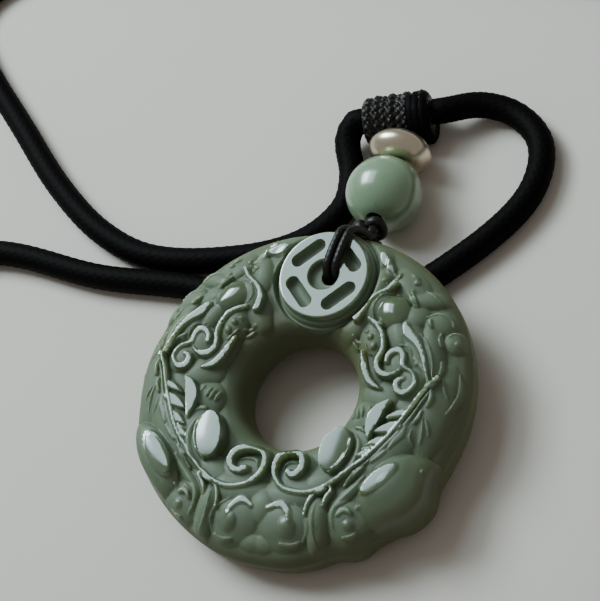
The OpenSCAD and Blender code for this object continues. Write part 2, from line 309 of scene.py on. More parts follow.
# %% Chart of the carving: bosses and facets
# columns: name, x, y, half length, half width, turn of the length, rise over the sunk ground, polish
BOSSES = [
    ("eye", 12.2, 12.2, 2.7, 2.6, 0, 1.3, 1),
    ("forehead", 9.4, 12.9, 3.9, 1.7, 62, 1.0, 0),
    ("temple", 6.9, 9.9, 3.2, 1.8, 50, 0.9, 0),
    ("by_coin", 9.0, 16.4, 3.2, 1.6, 70, 0.8, 0),
    ("behind_eye", 15.6, 12.1, 2.0, 1.8, 0, 0.8, 0),
    ("muzzle", 10.0, 7.6, 3.7, 2.1, 104, 1.2, 0),
    ("cheek", 13.6, 9.0, 2.8, 1.8, -62, 1.0, 0),
    ("mane_inner", 16.4, 7.8, 5.5, 1.8, -58, 1.0, 0),
    ("mane_outer", 19.2, 6.4, 5.7, 1.7, -74, 1.1, 0),
    ("curl_high", 14.0, 4.8, 2.8, 2.7, 0, 1.0, 0),
    ("curl_low", 16.7, 2.1, 2.5, 2.4, 0, 0.9, 0),
    ("jaw", 10.9, 3.2, 4.1, 1.8, -62, 1.2, 0),
    ("ear_leaf", 16.6, 15.0, 3.0, 1.5, 8, 0.9, 0),
    ("scroll_high", 19.0, 11.6, 2.3, 2.1, 0, 0.9, 0),
    ("scroll_low", 21.5, 9.2, 1.9, 1.8, 0, 0.8, 0),
    ("flank", 21.0, -1.0, 7.2, 2.6, -96, 1.0, 0),
    ("breast", 16.4, -6.2, 7.6, 3.1, 52, 0.9, 0),
    ("shin", 10.9, -8.2, 5.2, 3.0, 74, 1.2, 0),
    ("paw", 11.2, -3.2, 2.7, 2.5, 60, 1.0, 0),
    ("throat", 12.7, 0.4, 3.1, 2.3, -20, 0.9, 0),
    ("haunch", 18.8, -12.9, 6.3, 4.8, 44, 2.1, 0.5),
    ("tail_pad", 3.1, -12.4, 3.7, 3.4, 0, 1.0, 0),
    ("tail_under", 3.9, -14.8, 4.6, 2.6, 8, 1.0, 0),
    ("tail_root", 7.3, -12.8, 3.1, 2.2, 30, 0.9, 0),
    ("between", 0, -17.2, 2.0, 2.8, 0, 0.8, 0),
    ("cloud_near", 3.9, -19.6, 3.8, 3.6, 0, 0.8, 0),
    ("cloud_near_ball", 4.3, -19.9, 1.6, 1.7, 0, 1.3, 0.5),
    ("cloud_far", 12.9, -18.3, 3.6, 3.2, -20, 0.9, 0),
    ("cloud_far_ball", 12.8, -18.3, 1.1, 1.0, 0, 1.3, 0.5),
    ("stem", 8.4, -19.2, 4.3, 1.7, 98, 1.2, 0),
    ("foot", 0.8, -22.6, 1.8, 1.2, 0, 0.35, 0),
    ("foot_far", 9.9, -22.0, 1.3, 1.1, 0, 0.35, 0),
    ("crown", 6.6, 21.4, 3.6, 1.9, -24, 0.9, 0),
    ("nape", 13.8, 17.0, 3.5, 2.0, -44, 0.8, 0),
]
# columns: name, x, y, half length, half width, turn, level, fall from its middle to its edge, outward slope
FACETS = [
    ("knee", 8.85, -8.5, 3.4, 2.15, 79, 5.55, 0.12, 0.035),
    ("haunch", 16.0, -11.8, 3.3, 1.25, 48, 5.5, 0.07, 0.0),
    ("joint", 8.2, -14.4, 1.2, 0.6, 28, 5.1, 0.03, 0.0),
    ("ear", 8.9, 20.3, 1.8, 0.75, -56, 3.45, 0.05, 0.0),
]
# Two facets that only the left half has, in the same columns and with their real places
LEFT_FACETS = [
    ("haunch", -17.3, -12.5, 4.1, 1.7, 132, 5.5, 0.22, 0.0),
    ("shoulder", -7.5, 20.5, 2.2, 0.9, 22, 3.6, 0.05, 0.0),
]
print(len(BOSSES), "bosses and", len(FACETS), "facets, and", len(LEFT_FACETS), "facets on the left alone")

# %% Chart of the carving: ridges
# columns: name, half widths from start to end, rise, level of a flat top (0 where the ridge is round), points
RIDGES = [
    ("brow", (0.46, 0.42, 0.32, 0.28, 0.26, 0.3), 2.0, 5.0,
     [(7.2, 10.6), (7.6, 11.6), (8.2, 13.0), (9.0, 14.1), (10.1, 14.9), (10.9, 15.5), (11.6, 16.5)]),
    ("lid", (0.1, 0.2, 0.1), 0.3, 0, [(9.6, 10.9), (9.3, 12.6), (10.1, 14.3), (11.8, 15.0), (13.6, 14.4)]),
    ("lip", (0.2, 0.34, 0.3, 0.28, 0.26, 0.26, 0.3, 0.34, 0.42, 0.46, 0.2, 0.1), 2.0, 4.95,
     [(9.1, 10.8), (10.0, 10.3), (10.9, 9.6), (11.6, 8.5), (12.0, 7.2), (12.0, 6.1), (11.7, 5.0),
      (11.8, 4.0), (12.5, 3.1), (13.4, 2.9), (14.4, 3.1), (15.2, 3.8)]),
    ("curl",
     (0.28, 0.34, 0.4, 0.44, 0.4, 0.36, 0.28, 0.2, 0.2, 0.24, 0.26, 0.3, 0.4, 0.46, 0.44, 0.38, 0.22),
     2.0, 4.95,
     [(13.1, 4.8), (13.1, 5.6), (13.6, 6.3), (14.4, 6.6), (15.1, 6.2), (15.4, 5.3), (15.5, 4.5),
      (16.2, 4.1), (17.0, 3.7), (17.6, 2.9), (17.8, 2.0), (17.4, 1.2), (16.6, 0.6), (15.7, 0.8),
      (15.2, 1.5), (15.4, 2.3), (16.1, 2.6)]),
    ("curl_edge", (0.1, 0.2, 0.1), 0.3, 0, [(14.2, 7.4), (15.5, 7.3), (16.3, 6.4), (16.5, 5.1)]),
    ("jaw_edge", (0.15, 0.34, 0.42, 0.48, 0.4, 0.12), 1.7, 4.75,
     [(9.1, 6.0), (9.5, 5.0), (9.9, 4.0), (10.5, 2.7), (11.2, 1.8), (12.1, 1.2), (13.0, 0.9)]),
    ("nostril_line", (0.1, 0.18, 0.1), 0.4, 0, [(9.1, 7.3), (9.7, 6.3), (10.4, 5.6)]),
    ("whisker_high", (0.12, 0.2, 0.12), 0.5, 3.3, [(6.9, 8.3), (7.6, 7.7), (8.2, 7.4)]),
    ("whisker_low", (0.14, 0.24, 0.12), 0.5, 3.3, [(7.0, 7.4), (7.5, 6.9), (7.9, 6.6)]),
    ("mane_leaf", (0.4, 0.66, 0.6, 0.46, 0.36, 0.3, 0.24, 0.18, 0.1), 1.8, 5.15,
     [(14.7, 10.3), (15.0, 9.6), (15.6, 8.9), (16.5, 8.2), (17.4, 7.2), (18.1, 6.1), (18.6, 4.9),
      (19.1, 3.6), (19.6, 2.4)]),
    ("mane_line_1", (0.1, 0.22, 0.12), 0.5, 0,
     [(16.9, 9.4), (18.0, 8.3), (19.0, 6.7), (19.6, 5.0), (19.9, 3.2)]),
    ("mane_line_2", (0.1, 0.22, 0.12), 0.5, 4.4, [(19.5, 9.9), (19.7, 9.0), (20.1, 8.2)]),
    ("mane_line_3", (0.1, 0.2, 0.12), 0.5, 4.3, [(20.7, 5.8), (20.9, 4.8), (20.8, 4.0)]),
    ("mane_line_4", (0.12, 0.24, 0.2, 0.1), 0.6, 4.7, [(16.9, 5.6), (17.7, 5.1), (18.4, 4.4), (18.9, 3.2)]),
    ("scroll_high_in", (0.12, 0.22, 0.12), 0.5, 4.4, [(17.6, 11.8), (17.7, 11.3), (18.0, 10.8)]),
    ("scroll_high_out", (0.1, 0.2, 0.2, 0.1), 0.4, 0,
     [(17.1, 12.2), (18.0, 12.9), (19.4, 12.9), (20.5, 12.2), (20.8, 11.4)]),
    ("scroll_low_out", (0.1, 0.2, 0.1), 0.4, 0, [(20.4, 9.6), (21.0, 10.5), (22.0, 10.5), (22.8, 9.6)]),
    ("tuft_1", (0.1, 0.24, 0.1), 0.6, 4.5, [(13.7, 15.2), (14.3, 14.5), (15.0, 13.5)]),
    ("tuft_2", (0.1, 0.18, 0.1), 0.5, 4.4, [(14.3, 15.3), (14.8, 14.5), (15.3, 13.5)]),
    ("ear_leaf_line", (0.1, 0.2, 0.1), 0.4, 0, [(16.0, 16.2), (17.2, 15.6), (18.6, 14.5)]),
    ("ear_edge", (0.2, 0.5, 0.45, 0.16), 0.8, 3.6, [(9.4, 20.3), (9.8, 19.3), (10.3, 18.4), (11.0, 17.9)]),
    ("spine", (0.14, 0.22, 0.25, 0.25, 0.22), 1.7, 5.1,
     [(20.7, 3.4), (19.7, 1.9), (18.8, 0.4), (18.1, -1.2), (17.3, -3.0), (16.3, -4.9), (15.1, -6.8),
      (13.7, -8.6), (12.2, -10.2), (10.8, -11.7), (9.6, -12.8)]),
    ("spine_head", (0.1, 0.46, 0.1), 1.5, 5.1, [(20.4, 2.6), (19.8, 2.1), (19.3, 1.6)]),
    ("spine_middle", (0.08, 0.15, 0.15, 0.1), 0.6, 4.8,
     [(20.2, 1.4), (19.3, -0.3), (18.5, -2.2), (17.5, -4.2), (16.3, -6.2), (14.9, -8.1), (13.4, -9.9),
      (11.9, -11.4)]),
    ("spine_leaf_1", (0.1, 0.24, 0.1), 0.7, 4.75, [(20.2, 1.6), (20.4, 0.4), (20.1, -0.8)]),
    ("spine_leaf_2", (0.1, 0.24, 0.1), 0.7, 4.75, [(19.5, -1.6), (19.2, -2.7), (18.8, -3.4)]),
    ("spine_leaf_3", (0.1, 0.32, 0.28, 0.1), 0.7, 4.8,
     [(17.9, -4.1), (17.5, -5.4), (16.9, -6.2), (16.3, -7.3)]),
    ("spine_leaf_4", (0.1, 0.24, 0.1), 0.7, 4.8, [(15.9, -7.8), (15.0, -8.7), (14.2, -9.5)]),
    ("spine_leaf_5", (0.12, 0.28, 0.12), 0.7, 4.85,
     [(13.3, -10.4), (12.6, -11.2), (11.9, -12.1), (11.2, -13.2)]),
    ("wing", (0.2, 0.66, 0.95, 0.9, 0.6, 0.12), 2.4, 5.15,
     [(14.8, -0.9), (14.0, -1.8), (13.4, -2.9), (13.1, -4.0), (13.0, -5.0), (13.0, -6.3)]),
    ("paw_line", (0.1, 0.2, 0.1), 0.5, 4.3, [(12.0, -1.8), (12.3, -2.5), (12.2, -3.5), (11.9, -4.4)]),
    ("ankle", (0.12, 0.22, 0.12), 0.5, 4.4, [(10.8, -4.9), (11.5, -4.9), (12.1, -5.3)]),
    ("shin_edge", (0.2, 0.5, 0.55, 0.45, 0.2), 0.4, 0,
     [(10.9, -5.9), (11.8, -7.1), (12.0, -8.7), (11.6, -10.3), (10.6, -11.7), (9.2, -12.7)]),
    ("knee_edge", (0.08, 0.16, 0.18, 0.16, 0.08), 1.2, 5.55,
     [(10.2, -5.8), (10.9, -7.2), (10.8, -8.8), (10.0, -10.6), (8.8, -11.8)]),
    ("tail", (0.2, 0.24, 0.3, 0.3, 0.33, 0.38, 0.42, 0.46, 0.4), 2.0, 5.1,
     [(9.6, -12.9), (8.8, -13.6), (7.8, -14.3), (6.8, -14.8), (5.5, -15.1), (4.0, -15.1), (2.6, -14.8),
      (1.6, -14.0), (0.95, -12.9), (0.8, -11.7), (1.1, -10.6), (1.9, -9.8), (3.1, -9.55), (4.1, -9.9),
      (4.7, -10.8), (4.7, -11.8), (4.2, -12.6), (3.5, -12.9), (3.0, -12.6)]),
    ("tail_leaf", (0.1, 0.3, 0.3, 0.1), 0.4, 0, [(1.9, -12.2), (2.1, -11.3), (2.8, -10.9), (3.8, -11.0)]),
    ("tail_spur", (0.14, 0.28, 0.3, 0.12), 1.5, 4.8,
     [(9.0, -13.4), (9.6, -14.1), (9.1, -15.2), (8.9, -16.4)]),
    ("stem_line", (0.3, 0.26, 0.2, 0.12), 1.6, 4.8,
     [(7.3, -14.9), (6.9, -15.7), (6.6, -16.9), (6.6, -18.1)]),
    ("stem_fold", (0.1, 0.3, 0.1), 0.4, 0, [(7.8, -16.0), (7.8, -18.4), (8.2, -20.4), (8.8, -22.0)]),
    ("side_body", (0.3, 0.8, 0.9, 0.6, 0.4, 0.1), 0.6, 0,
     [(13.6, -11.6), (12.5, -13.3), (11.3, -14.9), (10.3, -16.3), (10.3, -18.1), (11.0, -19.6)]),
    ("cloud_near_hook", (0.3, 0.42, 0.5, 0.42, 0.12), 1.2, 4.65,
     [(1.3, -17.8), (2.2, -17.2), (3.2, -17.1), (4.0, -17.7), (4.5, -18.6), (4.7, -19.3)]),
    ("cloud_near_rim", (0.1, 0.3, 0.3, 0.1), 0.4, 0,
     [(4.8, -16.7), (6.6, -18.1), (7.1, -20.0), (6.6, -21.8)]),
    ("cloud_near_foot", (0.1, 0.26, 0.26, 0.1), 0.45, 3.9,
     [(3.7, -22.2), (4.6, -22.3), (5.6, -22.1), (6.3, -21.6)]),
    ("cloud_far_hook", (0.12, 0.3, 0.3, 0.12), 0.7, 4.4,
     [(11.1, -17.3), (11.5, -16.6), (12.2, -16.4), (12.8, -16.7)]),
    ("cloud_far_foot", (0.1, 0.26, 0.1), 0.45, 4.0, [(12.3, -20.0), (13.2, -19.9), (13.8, -19.3)]),
    ("side_leaf", (0.1, 0.4, 0.4, 0.1), 0.5, 0,
     [(23.0, 5.0), (23.6, 3.2), (23.7, 1.6), (23.2, 0.0), (22.6, -1.2)]),
    ("side_hair_1", (0.1, 0.26, 0.1), 0.35, 0, [(21.2, 3.4), (21.8, 2.0), (22.4, 1.0)]),
    ("side_hair_2", (0.1, 0.26, 0.1), 0.35, 0, [(20.3, -2.6), (20.8, -3.8), (21.0, -4.8)]),
    ("side_hair_3", (0.1, 0.26, 0.1), 0.35, 0, [(19.8, -2.4), (20.1, -4.2), (20.0, -6.0)]),
    ("side_hair_4", (0.1, 0.26, 0.1), 0.35, 0, [(18.7, -4.4), (18.7, -5.4), (19.2, -6.4)]),
]
print(len(RIDGES), "ridges that curve")


# %% Chart of the carving: barbs and claws
# Barbs of the back: each starts wide at the spine and runs out to a point
# columns: root x, y, tip x, y, half width at the root
BARBS = [(17.3, -2.2, 15.0, -3.15, 0.50), (16.8, -4.1, 13.7, -5.4, 0.74), (15.2, -6.35, 13.1, -7.3, 0.55),
         (14.1, -7.55, 12.7, -7.95, 0.2), (13.7, -8.2, 11.95, -9.2, 0.44)]
# Half widths of a barb from its root on, as shares of the width in the chart, and of its tip in mm
BARB_SHARES = (0.8, 1, 0.66)
BARB_TIP = 0.08
# Claws over the hole's edge, each from one end to the other
CLAWS = [((9.5, -2.3), (9.8, -3.5)), ((10.2, -2.1), (10.6, -3.4)), ((10.9, -1.9), (11.2, -3.1))]


def straight_ridge(name, widths, rise, level, start, end):
    """A row of the ridges' chart, for a ridge along a straight line."""
    middle = ((start[0] + end[0]) / 2, (start[1] + end[1]) / 2)
    return (name, widths, rise, level, [start, middle, end])


for root_x, root_y, tip_x, tip_y, wide in BARBS:
    widths = (*(share * wide for share in BARB_SHARES), BARB_TIP)
    RIDGES.append(straight_ridge("barb", widths, rise=2.0, level=5.05, start=(root_x, root_y),
                                 end=(tip_x, tip_y)))
for start, end in CLAWS:
    RIDGES.append(straight_ridge("claw", (0.24, 0.36, 0.24), rise=0.45, level=0, start=start, end=end))
print(len(RIDGES), "ridges with the barbs and claws")

# %% Chart of the carving: pearls, and how the left half is laid
# columns: x, y, half length, half width, turn, rise
PEARLS = [(11.6, 18.0, 0.5, 0.34, 80, 0.6), (11.2, 17.4, 0.3, 0.3, 0, 0.4), (10.1, 16.9, 0.45, 0.36, 0, 0.6),
          (10.5, 16.4, 0.35, 0.3, 0, 0.5), (14.4, 17.2, 0.4, 0.36, 0, 0.6),
          (13.9, 18.1, 0.75, 0.34, -38, 0.6), (9.8, 8.2, 0.4, 0.4, 0, 0.6), (9.0, 9.0, 0.28, 0.25, 0, 0.4),
          (10.5, 6.9, 0.55, 0.42, 70, 0.6), (17.3, 4.9, 0.3, 0.25, 0, 0.4), (22.0, 9.0, 0.34, 0.34, 0, 0.5),
          (13.6, -15.8, 0.3, 0.25, 0, 0.5), (14.2, 15.8, 0.26, 0.24, 0, 0.4),
          (21.4, -9.6, 0.3, 0.4, 0, 0.3)]
# The left half is the same chart turned over, but laid a little further out and lower, in mm
LEFT_OUT = 1.25
LEFT_DOWN = 0.6
# Each pair: where that shift is nothing, and where it is whole
ON_LEFT = (1, 6)
OUT_BELOW = (13, 9.5)
OUT_ABOVE = (-17, -12)
DOWN_BELOW = (-4, -9)
print(len(PEARLS), "pearls")

# %% [markdown]
# ## From the chart to heights
# Each form of the chart says how high it lifts the stone at a point, and the highest form wins. So two
# bosses meet in a sharp groove, as a wheel leaves it, with no Boolean between them. The same step notes
# where the tops were ground flat, because the material polishes them later.

# %% How far a point lies inside a form
# A flat ridge slopes from this far outside its drawn edge up to this far inside it, in mm
FLAT_FOOT = 0.22
FLAT_TOP = -0.07
ROUND_SIDES = 0.6
# A ridge is worked out for the points in its box alone, with this margin in mm
BOX_MARGIN = 0.25
RIDGE_SPACING = 0.4
TINY = 1e-12


def boss_share(x, y, cx, cy, length, width, turn):
    """1 at the middle of a boss, falling to 0 at its edge; also the distance across it from its long axis."""
    c = math.cos(math.radians(turn))
    s = math.sin(math.radians(turn))
    dx = x - cx
    dy = y - cy
    across = dx * s - dy * c
    return np.clip(1 - ((dx * c + dy * s) / length) ** 2 - (across / width) ** 2, 0, 1), across


def ridge_share(x, y, widths, points, flat):
    """1 on top of a ridge and 0 beside it: with a short slope if it is flat, with a round back if not."""
    line = smooth_route([(px, py, 0) for px, py in points], RIDGE_SPACING)[:, :2]
    along = run_of(line)
    half = np.interp(along / along[-1], np.linspace(0, 1, len(widths)), widths)
    reach = max(widths) + BOX_MARGIN
    near = ((x > line[:, 0].min() - reach) & (x < line[:, 0].max() + reach)
            & (y > line[:, 1].min() - reach) & (y < line[:, 1].max() + reach))
    px = x[near]
    py = y[near]
    outside = np.full(px.shape, np.inf)
    for (ax, ay), (bx, by), wide_a, wide_b in zip(line[:-1], line[1:], half[:-1], half[1:]):
        ux = bx - ax
        uy = by - ay
        t = np.clip(((px - ax) * ux + (py - ay) * uy) / (ux * ux + uy * uy + TINY), 0, 1)
        wide = wide_a + (wide_b - wide_a) * t
        outside = np.minimum(outside, np.hypot(px - ax - t * ux, py - ay - t * uy) - wide)
    share = np.zeros_like(x)
    if flat:
        share[near] = smooth_step(FLAT_FOOT, FLAT_TOP, outside)
    else:
        share[near] = np.clip(-outside / max(widths), 0, 1) ** ROUND_SIDES
    return share


halfway = boss_share(1.0, 0.0, 0.0, 0.0, length=2.0, width=1.0, turn=0)[0]
print("a boss's share halfway along it:", round(float(halfway), 2))

# %% Heights and polish from the chart
# Powers of the share: a polished boss is a full dome, a plain one a softer pad
DOME = 0.5
PAD = 0.75
FACET_EDGE = 0.34
# A facet and a flat ridge stand at least this far over the bosses, in mm
FACET_STANDS = 0.1
RIDGE_STANDS = 0.2
# Ridges that may rise further than this are polished all along their tops, the others only a little
MAIN_RISE = 1.1
SMALL_POLISH = 0.3
PEARL_SIZE = 1.15
PEARL_RISE = 0.7
PEARL_POLISH = 0.4


def carved(x, y, ground, sunk):
    """Height of the carved front, and its polish: 1 on tops ground flat, 0 where a tool can't reach."""
    left = smooth_step(*ON_LEFT, -x)
    real_x = x
    real_y = y
    x = np.abs(x) - LEFT_OUT * left * smooth_step(*OUT_BELOW, y) * smooth_step(*OUT_ABOVE, y)
    y = y + LEFT_DOWN * left * smooth_step(*DOWN_BELOW, y)
    low = ground - sunk
    height = low.copy()
    polish = np.zeros_like(x)
    for _, cx, cy, length, width, turn, rise, shine in BOSSES:
        share, _ = boss_share(x, y, cx, cy, length, width, turn)
        lift = low + rise * share ** (DOME if shine else PAD)
        polish = np.where(lift > height, shine, polish)
        height = np.maximum(height, lift)
    bosses = height.copy()
    for _, cx, cy, length, width, turn, level, fall, slope in FACETS + LEFT_FACETS:
        on_x, on_y = (x, y) if cx > 0 else (real_x, real_y)
        share, across = boss_share(on_x, on_y, cx, cy, length, width, turn)
        edge = smooth_step(0, FACET_EDGE / width, share)
        top = np.maximum(level - fall * (1 - share) - slope * across, bosses + FACET_STANDS)
        height = np.maximum(height, bosses + edge * (top - bosses))
        polish = np.maximum(polish, edge)
    for _, widths, rise, level, points in RIDGES:
        share = ridge_share(x, y, widths, points, flat=level > 0)
        top = np.clip(level, bosses + RIDGE_STANDS, bosses + rise) if level else bosses + rise
        height = np.maximum(height, bosses + share * (top - bosses))
        polish = np.maximum(polish, share ** 2 * (1 if rise > MAIN_RISE else SMALL_POLISH))
    for cx, cy, length, width, turn, rise in PEARLS:
        share, _ = boss_share(x, y, cx, cy, PEARL_SIZE * length, PEARL_SIZE * width, turn)
        lift = bosses + PEARL_RISE * rise * share ** DOME
        height = np.where(share > 0, np.maximum(height, lift), height)
        polish = np.maximum(polish, PEARL_POLISH * (share > 0))
    return height, polish


over_eye, shine = carved(np.array([12.2]), np.array([12.2]), np.array([4.0]), np.array([SUNK]))
print("the eye lifts ground of 4 mm to", round(float(over_eye[0]), 2), "mm, with a polish of", shine[0])

# %% Section of the ring
# columns: radius, height over the middle plane; down the outside, over the back, and up the hole's wall
OUTSIDE = [(RING_R, 0.0), (RING_R, -1.4), (RING_R - 0.12, -2.4), (RING_R - 0.5, -3.4), (RING_R - 1.1, -4.15),
           (RING_R - 1.9, BACK)]
OVER_BACK = [(21, BACK), (17, BACK), (13, BACK), (10.2, BACK)]
HOLE_WALL = [(9.4, -4.42), (8.8, -4.15), (8.5, -3.7), (EYE_R, -3.0), (EYE_R, -2.0), (EYE_R, -1.2),
             (EYE_R, -0.5)]
# The front has closer rows of points in its first tenth, where it turns up out of the hole
STEEP_PART = 0.1
STEEP_ROWS = 7
FRONT_ROWS = 112

shares = np.concatenate([np.linspace(0, STEEP_PART, STEEP_ROWS)[:-1], np.linspace(STEEP_PART, 1, FRONT_ROWS)])
front_line = list(zip(EYE_R + (RING_R - EYE_R) * shares, eased(shares, GROUND)))
section = np.array(front_line + OUTSIDE + OVER_BACK + HOLE_WALL)
print("the section has", len(section), "points")


# %% Wrap a sheet round the section and round the ring
TURNS = 720
# The two outlines pass into each other by the middle line; each number is a cosine of the angle
HALVES_MEET = (0.3, -0.3)


def read_points(mesh):
    """A mesh's points, one row of x, y and z for each."""
    points = np.empty(len(mesh.vertices) * 3)
    mesh.vertices.foreach_get("co", points)
    return points.reshape(-1, 3)


bm = bmesh.new()
bmesh.ops.create_grid(bm, x_segments=TURNS, y_segments=len(section) - 1, size=1)
sheet = bpy.data.meshes.new("carved_ring")
bm.to_mesh(sheet)
bm.free()
grid = (read_points(sheet) + 1) / 2
angle = grid[:, 0] * 2 * math.pi
station = np.rint(grid[:, 1] * (len(section) - 1)).astype(int)
radius, z = section[station].T
half_angle = np.degrees(np.arctan2(np.sin(angle), np.abs(np.cos(angle))))
to_left = smooth_step(*HALVES_MEET, np.cos(angle))
edge_r = RING_R * (eased(half_angle, OUTLINE) * (1 - to_left) + eased(half_angle, OUTLINE_LEFT) * to_left)
radius = EYE_R + (radius - EYE_R) * (edge_r - EYE_R) / (RING_R - EYE_R)
x = radius * np.cos(angle)
y = radius * np.sin(angle)
print("the outline reaches from", round(float(edge_r.min()), 2), "to", round(float(edge_r.max()), 2), "mm")

# %% Carve the sheet
COIN_X = 0.8
COIN_Y = 16.6
COIN_Z = 5.0
COIN_R = 6.6
# Each pair: where the carving, or the sinking of its ground, is nothing, and where it is whole
OFF_COIN = (COIN_R + 1.0, COIN_R + 1.9)
OFF_SIDES = (-0.6, 0.7)
OFF_HOLE = (0.02, 0.07)
OFF_EDGE = (1.0, 0.95)
SUNK_OFF_HOLE = (0.12, 0.26)
SUNK_OFF_EDGE = (0.99, 0.80)

share_out = (radius - EYE_R) / (edge_r - EYE_R)
from_coin = np.hypot(x - COIN_X, y - COIN_Y)
off_coin = smooth_step(*OFF_COIN, from_coin)
front = smooth_step(*OFF_SIDES, z) * smooth_step(*OFF_HOLE, share_out) * smooth_step(*OFF_EDGE, share_out)
sunk = SUNK * smooth_step(*SUNK_OFF_HOLE, share_out) * smooth_step(*SUNK_OFF_EDGE, share_out)
low = z - sunk
height, polish = carved(x, y, z, sunk)
z = z + (height - z) * front * off_coin
polish = polish * front * off_coin
print("the carving reaches", round(float(z.max()), 2), "mm over the middle plane")

# %% Masks for painted shade: how raised the stone is, and the sides, thin edges and hole wall painted olive for shade and for light passing through the stone
FULLY_RAISED = 2.0
# Each pair: where the stone is no side or thin edge and gets no painted olive shade, and where it is one and
# gets it
LOW_SIDES = (2.8, 0.4)
BY_EDGE = (0.72, 1.0)
BY_HOLE = (0.38, 0.14)
# Directions from the ring's middle, as cosines and sines of the angle
TO_LOWER_RIGHT = (0.2, 0.9)
LOWER_RIGHT = math.radians(42)
TO_TOP = (-0.2, 0.5)
PAINTED_EDGE_SHADE = 0.9
PAINTED_HOLE_SHADE = 0.8

# How raised a point is sets its painted shade: a deeper colour low in the grooves, a paler one on top
raised = np.clip((z - low) / FULLY_RAISED, 0, 1)
lower_right = smooth_step(*TO_LOWER_RIGHT, np.cos(angle + LOWER_RIGHT))
# Painted olive shade on the low sides, on the thin edge at the lower right and on the upper part of the
# hole's wall, away from the light
side = np.maximum(smooth_step(*LOW_SIDES, z), PAINTED_EDGE_SHADE * lower_right * smooth_step(*BY_EDGE, share_out))
side = np.maximum(side, PAINTED_HOLE_SHADE * smooth_step(*TO_TOP, np.sin(angle)) * smooth_step(*BY_HOLE, share_out))
print("share of points by a side or a thin edge:", round(float((side > 0.5).mean()), 2))

# %% Cut the moat round the coin, and lay the ring down
MOAT_FLOOR = 2.4
MOAT = (COIN_R + 0.8, COIN_R + 1.5)


def write_looks(mesh, **looks):
    """Writes a number for each point of a mesh, under a name that a material can read."""
    for name, values in looks.items():
        mesh.attributes.new(name, "FLOAT", "POINT").data.foreach_set("value", values)


in_moat = (z > MOAT_FLOOR) & (from_coin < MOAT[1])
z = np.where(in_moat, MOAT_FLOOR + (z - MOAT_FLOOR) * smooth_step(*MOAT, from_coin), z)
sheet.vertices.foreach_set("co", laid(np.stack([x, y, z], 1)).ravel())
write_looks(sheet, raised=raised, side=side, polish=polish)
bm = bmesh.new()
bm.from_mesh(sheet)
bmesh.ops.remove_doubles(bm, verts=bm.verts, dist=SEAM_GAP)
bmesh.ops.recalc_face_normals(bm, faces=bm.faces)
ring = add_piece("carved_ring", bm)


# %% [markdown]
# ## Coin
# The coin is raised from the same stone, with two small steps down to the ring, a round cord hole and
# four slots with round ends. Crisp round edges come out best from a spun profile, and the slots and the
# hole are cut with solids, as a carver's drill would.

# %% Spin a profile
# Points that lie this close on the axis or at the seam, in mm, become one
SPIN_GAP = 1e-5


def spun(profile, steps, at=(0, 0, 0)):
    """A solid of revolution about +Z, from rows of radius and height in mm."""
    bm = bmesh.new()
    verts = [bm.verts.new((r, 0, z)) for r, z in profile]
    edges = [bm.edges.new(pair) for pair in zip(verts[:-1], verts[1:])]
    bmesh.ops.spin(bm, geom=verts + edges, axis=(0, 0, 1), cent=(0, 0, 0), dvec=(0, 0, 0), angle=2 * math.pi,
                   steps=steps, use_merge=True, use_duplicate=False)
    bmesh.ops.remove_doubles(bm, verts=bm.verts, dist=SPIN_GAP)
    bmesh.ops.translate(bm, verts=bm.verts, vec=at)
    bmesh.ops.recalc_face_normals(bm, faces=bm.faces)
    print("spun a profile of", len(profile), "points")
    return bm


# %% Coin and cutters for its hole
# How raised the coin counts for its colour
# How raised the coin, its slots and its hole count for the painted groove shade: they are painted nearly as
# pale as the tops
COIN_RAISED = 0.8
# The coin is polished on its face and down to this far under it, in mm
FACE_DEPTH = 0.3
COIN_AT = (COIN_X, COIN_Y, 0)
COIN_PROFILE = [(0, 0.0), (7.75, 0.0), (7.72, 2.5), (7.62, 2.75), (7.35, 2.85), (7.3, 2.95), (7.22, 3.6),
                (7.1, 3.8), (6.9, 3.9), (6.82, 4.0), (6.72, 4.75), (6.62, 4.95), (6.45, 5.0), (6.4, 5.0),
                (0, 5.0)]
# The hole is sunk wide as far as the middle of the stone, and goes on narrower where the loop passes
SINK_PROFILE = [(0, 6.5), (3.2, 6.5), (2.7, 5.2), (2.35, 4.9), (2.16, 4.6), (2.12, 4.4), (2.0, 4.1),
                (1.7, 3.95), (1.3, 3.9), (0, 3.9)]
HOLE_PROFILE = [(0, 4.2), (1.4, 4.2), (1.4, -3.9), (1.7, -4.3), (2.1, -4.7), (2.5, -5.2), (0, -5.2)]
HOLE_AT = (COIN_X + 0.75, COIN_Y + 0.1, 0)


def laid_solid(name, bm):
    """A helper solid made in the ring's frame and laid down with it, polished by the coin's face alone."""
    polish = [1.0 if v.co.z > COIN_Z - FACE_DEPTH else 0.0 for v in bm.verts]
    for v, p in zip(bm.verts, laid([v.co[:] for v in bm.verts])):
        v.co = p
    solid = link_mesh(name, bm)
    write_looks(solid.data, raised=[COIN_RAISED] * len(polish), side=[0.0] * len(polish), polish=polish)
    return solid


coin = laid_solid("coin", spun(COIN_PROFILE, steps=160, at=COIN_AT))
cutters = [laid_solid("sink_cutter", spun(SINK_PROFILE, steps=72, at=COIN_AT)),
           laid_solid("hole_cutter", spun(HOLE_PROFILE, steps=56, at=HOLE_AT))]

# %% Cutters for the four slots
SLOT_HALF = 1.8
SLOT_R = 1.06
SLOT_DEEP = 1.3
